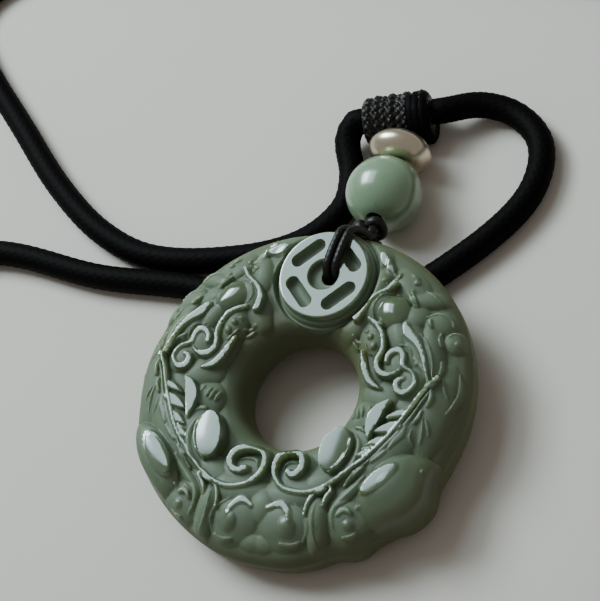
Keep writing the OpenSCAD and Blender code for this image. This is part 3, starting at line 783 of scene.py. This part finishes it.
# The slots' middles lie on a circle of this radius, just over the coin's face
SLOT_RING = 4.3
SLOT_Z = 5.1
for corner in range(4):
    bm = bmesh.new()
    bmesh.ops.create_uvsphere(bm, u_segments=40, v_segments=24, radius=1)
    for v in bm.verts:
        pull = SLOT_HALF if v.co.x >= 0 else -SLOT_HALF
        v.co = (v.co.x * SLOT_R + pull, v.co.y * SLOT_R, v.co.z * SLOT_DEEP)
    quarter = Matrix.Rotation(math.radians(90), 3, "Z")
    bmesh.ops.rotate(bm, verts=bm.verts, cent=(0, 0, 0), matrix=quarter)
    bmesh.ops.translate(bm, verts=bm.verts, vec=(SLOT_RING, 0, SLOT_Z))
    to_corner = Matrix.Rotation(math.radians(45 + 90 * corner), 3, "Z")
    bmesh.ops.rotate(bm, verts=bm.verts, cent=(0, 0, 0), matrix=to_corner)
    bmesh.ops.translate(bm, verts=bm.verts, vec=COIN_AT)
    cutters.append(laid_solid("slot_cutter", bm))
print(len(cutters), "cutters")


# %% Join the coin to the ring, then cut
def combine(base, other, operation):
    """A Boolean modifier, applied at once, and its helper solid removed."""
    step = base.modifiers.new(operation, "BOOLEAN")
    step.object = other
    step.operation = operation
    step.solver = "MANIFOLD"
    changed = bpy.data.meshes.new_from_object(base.evaluated_get(bpy.context.evaluated_depsgraph_get()))
    base.modifiers.clear()
    base.data = changed
    bpy.data.objects.remove(other)


combine(ring, coin, "UNION")
for cutter in cutters:
    combine(ring, cutter, "DIFFERENCE")
print("ring with coin:", len(ring.data.polygons), "faces")

# %% Polish the coin's face again
# The cuts leave new points round the slots and the hole, which don't know yet that they belong to the face
FLAT_WITHIN = 0.02


def in_ring_frame(points):
    """Metres in the necklace's frame back to millimetres in the ring's frame, as x, y and z."""
    x, y, z = (points / MM - [0, RING_Y, LIFT]).T
    return x, y * math.cos(LEAN) + z * math.sin(LEAN), z * math.cos(LEAN) - y * math.sin(LEAN)


x, y, z = in_ring_frame(read_points(ring.data))
face = (np.abs(z - COIN_Z) < FLAT_WITHIN) & (np.hypot(x - COIN_X, y - COIN_Y) < COIN_R)
# The face's points also take the coin's pale colour, with little painted shade and no painted olive shade
for name, value in (("raised", COIN_RAISED), ("side", 0.0), ("polish", 1.0)):
    kept = np.empty(len(face))
    ring.data.attributes[name].data.foreach_get("value", kept)
    ring.data.attributes[name].data.foreach_set("value", np.where(face, value, kept))
print("points on the coin's face:", int(face.sum()))

# %% Finish the ring
# Edges that turn by more than this stay sharp
SHARP_FROM = math.radians(38)
ring.data.polygons.foreach_set("use_smooth", [True] * len(ring.data.polygons))
ring.data.set_sharp_from_angle(angle=SHARP_FROM)
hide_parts("jade_ring")
print("kept on the ring:", [a.name for a in ring.data.attributes])

# %% [markdown]
# ## Bead
# The bead is a drilled ball of the same stone. A UV sphere with a Boolean hole would leave thin faces
# round the bore, so the bore, its eased mouth and the ball are one profile, spun round and turned to the
# thread's line.

# %% Bead
def along_axis(bm, axis, at):
    """Turns a shape made along +Z to an axis and puts it in its place, in mm."""
    turn = Vector((0, 0, 1)).rotation_difference(Vector(axis)).to_matrix()
    bmesh.ops.rotate(bm, verts=bm.verts, cent=(0, 0, 0), matrix=turn)
    bmesh.ops.translate(bm, verts=bm.verts, vec=at)
    bmesh.ops.scale(bm, verts=bm.verts, vec=(MM, MM, MM))
    return bm


BEAD_R = 5.8
BORE_R = 1.3
BEAD_AT = (2.3, 19.8, 5.8)
BEAD_AXIS = (-4, 78, -18)
BALL_ROWS = 72
BEAD_STEPS = 128
# The ball starts this far, in radians, outside the bore's mouth
MOUTH_EASE = 0.04
mouth = math.asin(BORE_R / BEAD_R)
depth = BEAD_R * math.cos(mouth)
# columns: radius, height; from the bead's middle up to the mouth
bore = [(BORE_R, 0), (BORE_R, depth - 0.5), (BORE_R + 0.05, depth - 0.2)]
round_down = np.linspace(mouth + MOUTH_EASE, math.pi - mouth - MOUTH_EASE, BALL_ROWS)
ball = [(BEAD_R * math.sin(a), BEAD_R * math.cos(a)) for a in round_down]
profile = bore + ball + [(r, -z) for r, z in reversed(bore)]
bead = add_piece("stone_bead", along_axis(spun(profile, BEAD_STEPS), BEAD_AXIS, BEAD_AT))
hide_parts("jade_bead")

# %% [markdown]
# ## Metal spacer
# A flat round bead of turned metal sits between the stone bead and the woven knot. A lathe makes the real
# one, and a spin is the same thing: half the profile is drawn, and its mirror image closes it.

# %% Spacer
SPACER_R = 4.9
SPACER_H = 4.5
SPACER_AT = (2.4, 28.1, 4.9)
half = SPACER_H / 2
# columns: radius, height; from the bore's middle over the face to the widest place
profile = [(BORE_R, 0), (BORE_R, half - 0.3), (BORE_R + 0.2, half - 0.05), (BORE_R + 0.5, half), (2.5, half),
           (3.0, half - 0.05), (3.5, half - 0.25), (4.0, half - 0.6), (4.4, half - 1.05), (4.7, half - 1.5),
           (4.86, half - 1.9), (SPACER_R, 0)]
profile = profile + [(r, -z) for r, z in reversed(profile[:-1])]
spacer = add_piece("turned_spacer", along_axis(spun(profile, BEAD_STEPS), (0, 1, 0), SPACER_AT))
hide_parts("metal_spacer")

# %% [markdown]
# ## Thread through the beads
# A thread carries both beads and ties them to the knots. It shows only at the mouths of the bores, so one
# braided tube on the line between the two knots is enough.

# %% Thread
THREAD_ROUTE = [(2.59, 14.15, 7.11), (2.0, 25.45, 4.49), (2.4, 25.85, 4.9), (2.4, 30.35, 4.9),
                (2.1, 31.05, 4.9)]
thread_line = smooth_route(THREAD_ROUTE, spacing=0.4)
thread = wrapped_tube("thread_braid", thread_line, radius=0.9, step=0.15, around=16,
                      relief=braid(strands=6, pitch=1.0, depth=0.1))
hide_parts("bead_thread")

# %% [markdown]
# ## Woven knot
# A long knot of fine cord, woven round both ends of the neck cord, gathers everything. Its weave could be
# built strand by strand, but at this size a tube with a coarse braid for relief looks the same. An uneven
# radius keeps it from looking machined, and a few plain wraps lie over its right end.

# %% Woven knot
BARREL_CORE = 2.2
BARREL_WEAVE = 1.75
# The knot closes in over this much of each end, in mm
BARREL_CLOSES = 1.2
# columns: height of a row of lumps, how closely they follow each other, where they start
LUMPS = [(0.16, 2.9, 0), (0.1, 5.3, 1)]
# The weave sags a little below the line between the cord's two ends
BARREL_SAG = [0, -0.3, -0.2]
BARREL_POINTS = 40


def barrel_radius(along):
    """Full in the middle, closed in at both ends, and never quite even."""
    from_end = np.minimum(along, 2 * BARREL_HALF - along)
    lumps = sum(high * np.sin(along * close + start) for high, close, start in LUMPS)
    full = np.sqrt(np.clip(1 - (1 - np.clip(from_end / BARREL_CLOSES, 0, 1)) ** 2, 0, 1))
    return BARREL_CORE + (BARREL_WEAVE + lumps) * full


stations = np.linspace(-BARREL_HALF, BARREL_HALF, BARREL_POINTS)
barrel_line = np.array([BARREL_AT + BARREL_SAG + t * BARREL_AXIS for t in stations])
woven = wrapped_tube("woven_knot_braid", barrel_line, radius=barrel_radius, step=0.12, around=132,
                     relief=braid(strands=18, pitch=1.5, depth=0.45))

# %% Wraps at the right end of the woven knot
WRAP_TURNS = 2.6
WRAP_START = 1.2
WRAP_R = 3.3
WRAP_SAG = [0, -0.6, -0.3]
# The wraps aren't quite round: how far they stand out here and there, in mm, and how often
WRAP_UNEVEN = 0.1
WRAP_WAVES = 1.7
WRAP_POINTS = 120
# How far from the knot's middle the wraps start, and how far they run along it, in mm
WRAP_FROM = 2.7
WRAP_RUN = 2.1
t = np.linspace(0, 1, WRAP_POINTS)
a = 2 * math.pi * WRAP_TURNS * t + WRAP_START
across = np.array([-BARREL_AXIS[1], BARREL_AXIS[0], 0.0])
wrap_r = WRAP_R + WRAP_UNEVEN * np.sin(a * WRAP_WAVES)
wrap_middle = BARREL_AT + WRAP_SAG + np.outer(WRAP_FROM + WRAP_RUN * t, BARREL_AXIS)
wrap_line = wrap_middle + (wrap_r * np.cos(a))[:, None] * across + (wrap_r * np.sin(a))[:, None] * [0, 0, 1]
wraps = wrapped_tube("woven_knot_wraps", wrap_line, radius=1.02, step=0.16, around=24,
                     relief=braid(strands=8, pitch=1.1, depth=0.12))
for piece in (woven, wraps):
    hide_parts("woven_knot")

# %% [markdown]
# ## Hanging loop
# A thinner cord, doubled, comes up through the coin, runs over its face to a small knot under the bead,
# and goes back behind the ring to the same knot. It follows the ring, so its route is drawn in the ring's
# own frame and laid down with it. Each strand is a tube of its own, because the groove between the two
# catches the light.

# %% Hanging loop
STRAND_D = 1.25
STRAND_GAP = 0.05
LOOP = [(3.3, 26.8, -2.0), (3.3, 25.7, -1.0), (3.2, 25.2, 1.2), (3.0, 24.6, 3.3), (2.6, 23.5, 5.1),
        (2.3, 21.6, 5.6), (2.0, 19.4, 5.6), (1.75, 17.9, 5.2), (1.6, 17.1, 4), (1.55, 16.9, 2),
        (1.55, 16.8, -4.2), (1.5, 18.5, -5.3), (2.6, 24.4, -5.3), (3.4, 26.1, -4.05)]
strands = []
for name, hand in (("strand_left", -1), ("strand_right", 1)):
    line = smooth_route(np.array(LOOP) + [hand * (STRAND_D + STRAND_GAP) / 2, 0, 0], spacing=0.5)
    strands.append(wrapped_tube(name, laid(line) / MM, radius=STRAND_D / 2, step=0.09, around=20,
                                relief=braid(strands=6, pitch=0.8, depth=0.08)))
for strand in strands:
    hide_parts("hanging_loop")

# %% [markdown]
# ## Small knot
# The loop ends in an overhand knot. Its middle line is a trefoil: one strand that goes three times
# through itself, which a short formula gives. So a single braided tube passes over and under itself, as
# the real cord does, and a short loose end sticks out of it.

# %% Small knot
KNOT_AT = np.array([3.0, 11.7, 8.3])
KNOT_SIZE = 0.6
# How much the knot is squashed from end to end, and how far its turns lie over each other
KNOT_SQUASH = 0.85
KNOT_DEPTH = 1.5
KNOT_POINTS = 260
TIP_RUN = [1.1, -2.0, -1.2]
TIP_POINTS = 8
t = np.linspace(0, 2 * math.pi, KNOT_POINTS)
trefoil_x = np.sin(t) + 2 * np.sin(2 * t)
trefoil_y = KNOT_SQUASH * (np.cos(t) - 2 * np.cos(2 * t))
trefoil_z = -KNOT_DEPTH * np.sin(3 * t)
trefoil = KNOT_SIZE * np.stack([trefoil_x, trefoil_y, trefoil_z], 1)
small_knot = wrapped_tube("small_knot", KNOT_AT + trefoil, radius=0.88, step=0.12, around=24,
                          relief=braid(strands=6, pitch=0.9, depth=0.1))
tip_line = KNOT_AT + np.outer(np.linspace(0, 1, TIP_POINTS), TIP_RUN)
knot_end = wrapped_tube("small_knot_end", tip_line, radius=0.85, step=0.12, around=24,
                        relief=braid(strands=6, pitch=0.9, depth=0.1))
for piece in (small_knot, knot_end):
    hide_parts("lower_knot")

# %% [markdown]
# ## Jade
# Polished jade is cloudy, not clear: light enters, scatters and comes out pale, and thick or shaded
# places look olive. Glass would be too clear and plain paint too flat, so a Principled shader with some
# subsurface scattering gives it. On the ring, shade is also painted into the colour: deeper in the
# grooves, and olive on the sides, the thin lower right edge and the hole's upper wall. The ring's
# roughness follows the carver's polish, so only the tops that were ground flat mirror the window.

# %% Helpers for node materials
def new_material(name):
    """A material with its node tree and its Principled shader."""
    material = bpy.data.materials.new(name)
    material.use_nodes = True
    print("material", name)
    return material, material.node_tree, material.node_tree.nodes["Principled BSDF"]


def feed(tree, socket, value):
    """Links another node's output to a socket, or writes a number or a colour into it."""
    if isinstance(value, bpy.types.NodeSocket):
        tree.links.new(value, socket)
    elif socket.type == "RGBA":
        socket.default_value = (*value, 1)
    else:
        socket.default_value = value


def set_inputs(tree, node, values):
    """Feeds a node's inputs by their names."""
    for name, value in values.items():
        feed(tree, node.inputs[name], value)


# %% Small nodes: read a point's number, add up, mix colours
# A Mix node set to colours has these sockets for its factor, its two colours and its result
MIX_FACTOR = 0
MIX_COLOURS = (6, 7)
MIX_RESULT = 2


def read_look(tree, name):
    """What write_looks wrote under a name."""
    node = tree.nodes.new("ShaderNodeAttribute")
    node.attribute_name = name
    return node.outputs["Fac"]


def maths(tree, operation, *values):
    """One step of arithmetic, kept between 0 and 1."""
    node = tree.nodes.new("ShaderNodeMath")
    node.operation = operation
    node.use_clamp = True
    for socket, value in zip(node.inputs, values):
        feed(tree, socket, value)
    return node.outputs[0]


def colour_mix(tree, factor, low, high):
    """From one colour to another as the factor goes from 0 to 1."""
    mix = tree.nodes.new("ShaderNodeMix")
    mix.data_type = "RGBA"
    for index, colour in zip(MIX_COLOURS, (low, high)):
        feed(tree, mix.inputs[index], colour)
    tree.links.new(factor, mix.inputs[MIX_FACTOR])
    return mix.outputs[MIX_RESULT]


# %% The stone's colour, with shade painted into its grooves
# How much of the way from the grooves' colour to the tops' colour the clouds in the stone take up
CLOUD_SHARE = 0.7
CLOUD_SCALE = 110.0
CLOUD_DETAIL = 3.0


def clouds_and_groove_shade(tree, raised, grooves, tops):
    """Painted shade, pale on raised places and deeper in grooves, with the stone's own clouds drifting
    between the two all over.
    """
    place = tree.nodes.new("ShaderNodeTexCoord")
    cloud = tree.nodes.new("ShaderNodeTexNoise")
    set_inputs(tree, cloud, {"Vector": place.outputs["Object"], "Scale": CLOUD_SCALE, "Detail": CLOUD_DETAIL})
    drift = maths(tree, "MULTIPLY_ADD", cloud.outputs["Fac"], CLOUD_SHARE, raised)
    return colour_mix(tree, maths(tree, "SUBTRACT", drift, CLOUD_SHARE / 2), grooves, tops)


print("a cloud in the stone is about", round(1000 / CLOUD_SCALE), "mm across")

# %% The ring's jade
# Roughness of the tops that were ground flat, and of the rest
POLISHED = 0.14
DULL = 0.74
ring_jade, tree, shader = new_material("ring_jade")
# Painted shade: the grooves get a deeper colour and the raised places a paler one
tint = clouds_and_groove_shade(tree, read_look(tree, "raised"), grooves=(0.076, 0.106, 0.044), tops=(0.096, 0.134, 0.076))
# Painted olive shade where the side mask is set: the sides, the thin lower right edge and the hole's upper
# wall
tint = colour_mix(tree, read_look(tree, "side"), tint, (0.056, 0.063, 0.004))
roughness = maths(tree, "MULTIPLY_ADD", read_look(tree, "polish"), POLISHED - DULL, DULL)
set_inputs(tree, shader, {
    "Base Color": tint, "Roughness": roughness, "IOR": 1.88, "Coat Weight": 0.05, "Coat Roughness": 0.12,
    "Subsurface Weight": 0.85, "Subsurface Radius": (1.0, 1.0, 0.8), "Subsurface Scale": 0.0036,
})
ring.data.materials.clear()
ring.data.materials.append(ring_jade)

# %% The bead's jade
# The bead is paler and clearer than the ring, with one even polish under a glossy coat
bead_jade, tree, shader = new_material("bead_jade")
tint = clouds_and_groove_shade(tree, 0.0, grooves=(0.23, 0.32, 0.20), tops=(0.27, 0.36, 0.24))
set_inputs(tree, shader, {
    "Base Color": tint, "Roughness": 0.24, "IOR": 1.6, "Coat Weight": 0.6, "Coat Roughness": 0.09,
    "Coat IOR": 1.5, "Subsurface Weight": 0.85, "Subsurface Radius": (1.0, 1.0, 0.85),
    "Subsurface Scale": 0.0036,
})
bead.data.materials.append(bead_jade)

# %% [markdown]
# ## Metal
# The spacer is silver with a warm tone. A fully metallic shader takes its colour from what it mirrors,
# and a middling roughness blurs that as fine scratches do. A painted highlight would slide in other
# views.

# %% Metal
metal, tree, shader = new_material("spacer_silver")
set_inputs(tree, shader, {"Base Color": (0.78, 0.67, 0.52), "Metallic": 1.0, "Roughness": 0.3})
spacer.data.materials.append(metal)

# %% [markdown]
# ## Finish of the cords
# All the cords are black. The neck cord is soft and hardly shines, while the tighter cord of the knots
# has a faint sheen. The braid is in the mesh already, so the two finishes differ only in colour,
# roughness and gloss.

# %% Braided cord
def cord_material(name, colour, roughness, gloss):
    """Dark cord; gloss is how much it reflects."""
    material, tree, shader = new_material(name)
    set_inputs(tree, shader, {"Base Color": colour, "Roughness": roughness, "Specular IOR Level": gloss})
    return material


cord_black = cord_material("cord_black", (0.0030, 0.0019, 0.0019), roughness=0.6, gloss=0.045)
knot_black = cord_material("knot_black", (0.0085, 0.0058, 0.0046), roughness=0.42, gloss=0.32)
for piece in (neck, thread, wraps):
    piece.data.materials.append(cord_black)
for piece in (woven, small_knot, knot_end, *strands):
    piece.data.materials.append(knot_black)

# %% [markdown]
# ## Floor and light
# A plain pale floor and a broad soft light from the back left, with a brighter core, stand where the
# coin's face mirrors them to the camera. An even light from all round fills the shadows. A sun lamp would
# give hard shadows, and polished stone shows its shape only in a broad reflection.

# %% Floor
FLOOR_HALF = 3
bm = bmesh.new()
bmesh.ops.create_grid(bm, x_segments=1, y_segments=1, size=FLOOR_HALF)
floor = link_mesh("floor", bm)
floor_paint, tree, shader = new_material("floor_paint")
set_inputs(tree, shader, {"Base Color": (0.70, 0.62, 0.56), "Roughness": 0.9})
floor.data.materials.append(floor_paint)


# %% Lights
def soft_light(name, place, width, depth, power, colour):
    """A rectangle of light that faces the middle of the necklace, in metres and watts."""
    lamp = bpy.data.lights.new(name, "AREA")
    lamp.shape = "RECTANGLE"
    lamp.size = width
    lamp.size_y = depth
    lamp.energy = power
    lamp.color = colour
    light = bpy.data.objects.new(name, lamp)
    bpy.context.scene.collection.objects.link(light)
    aim = Vector((0, 0, 1)).rotation_difference(Vector(place)).to_matrix().to_4x4()
    light.matrix_world = Matrix.Translation(place) @ aim
    print(name, "of", power, "W")


soft_light("window", (-0.44, 0.24, 0.62), width=0.52, depth=0.52, power=4.4, colour=(0.70, 0.93, 1.0))
soft_light("window_core", (-0.51, 0.235, 0.54), width=0.24, depth=0.38, power=4.6, colour=(0.79, 0.95, 1.0))
world = bpy.data.worlds.new("studio")
world.use_nodes = True
background = world.node_tree.nodes["Background"]
set_inputs(world.node_tree, background, {"Color": (0.79, 0.78, 0.73), "Strength": 0.33})
bpy.context.scene.world = world
